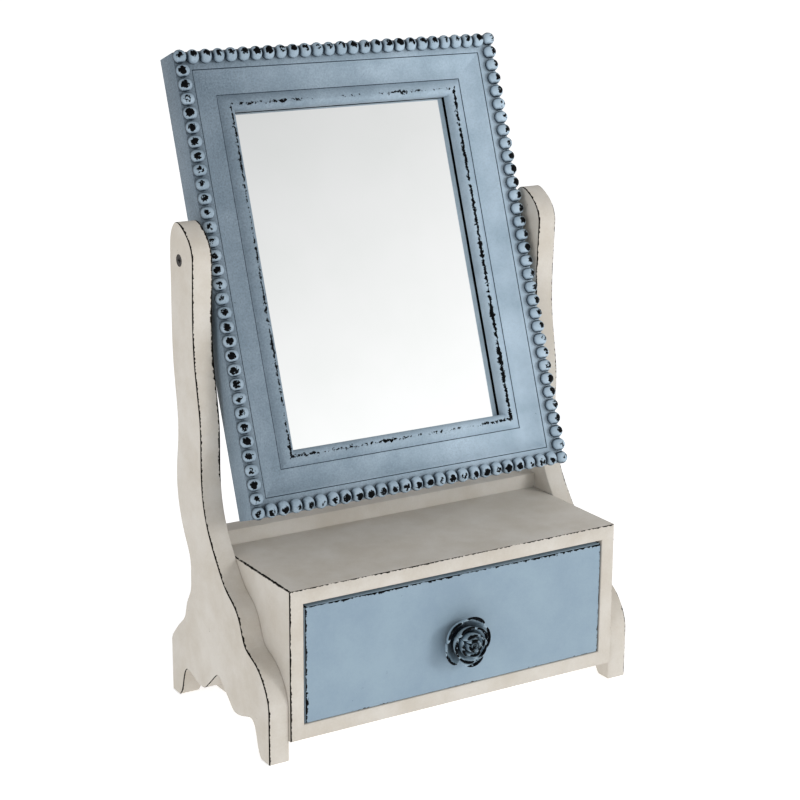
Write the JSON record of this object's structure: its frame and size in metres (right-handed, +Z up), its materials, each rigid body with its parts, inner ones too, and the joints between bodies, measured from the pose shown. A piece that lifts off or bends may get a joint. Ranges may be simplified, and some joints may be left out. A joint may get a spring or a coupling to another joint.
{
  "type": "table mirror",
  "caption": "Tilting table mirror in a beaded, moulded frame, hung between two scroll-cut side boards over a small case with one drawer and a rose knob.",
  "frame": {"origin": "on the surface that the mirror stands on, at the middle of the object's box seen from above", "axes": "+Z up, +X to the right as seen by the user, -Y towards the user (drawer and mirror face), +Y to the back"},
  "size_m": [0.29, 0.2026, 0.4466],
  "materials": {
    "cream_painted_wood": "matt cream chalk paint, arrises rubbed through to black",
    "blue_painted_wood": "matt dusty blue chalk paint, high spots rubbed through to black",
    "blue_painted_resin": "cast resin, painted dusty blue, petal edges rubbed black",
    "bare_wood": "bare planed wood",
    "hardboard": "brown hardboard",
    "mirror": "silvered float glass",
    "zinc_plated_steel": "zinc plated",
    "blackened_steel": "blackened"
  },
  "bodies": {
    "stand": {"left_side_board": "cream_painted_wood", "right_side_board": "cream_painted_wood", "case_top_board": "cream_painted_wood", "case_bottom_board": "cream_painted_wood", "case_left_board": "cream_painted_wood", "case_right_board": "cream_painted_wood", "case_back_panel": "hardboard", "back_rail": "cream_painted_wood", "case_screws": "zinc_plated_steel", "rail_screws": "zinc_plated_steel", "back_panel_pins": "zinc_plated_steel"},
    "drawer": {"drawer_front": "blue_painted_wood", "drawer_left_side": "bare_wood", "drawer_right_side": "bare_wood", "drawer_back": "bare_wood", "drawer_bottom": "hardboard", "drawer_dowels": "bare_wood", "drawer_pins": "zinc_plated_steel", "rose_knob": "blue_painted_resin", "knob_bolt": "zinc_plated_steel"},
    "mirror": {"frame_top_rail": "blue_painted_wood", "frame_bottom_rail": "blue_painted_wood", "frame_left_stile": "blue_painted_wood", "frame_right_stile": "blue_painted_wood", "mirror_glass": "mirror", "mirror_backing_board": "hardboard", "backing_tabs": "zinc_plated_steel", "left_pivot_screw": "blackened_steel", "right_pivot_screw": "blackened_steel", "left_pivot_spacer": "zinc_plated_steel", "right_pivot_spacer": "zinc_plated_steel"}
  },
  "joints": [
    {"name": "mirror_tilt", "type": "hinge", "parent": "stand", "child": "mirror", "pos_m": [0, 0.03994, 0.31405], "axis": [1, 0, 0], "continuous": true},
    {"name": "drawer_slide", "type": "slide", "parent": "stand", "child": "drawer", "axis": [0, -1, 0], "range_m": [0, 0.08]}
  ]
}
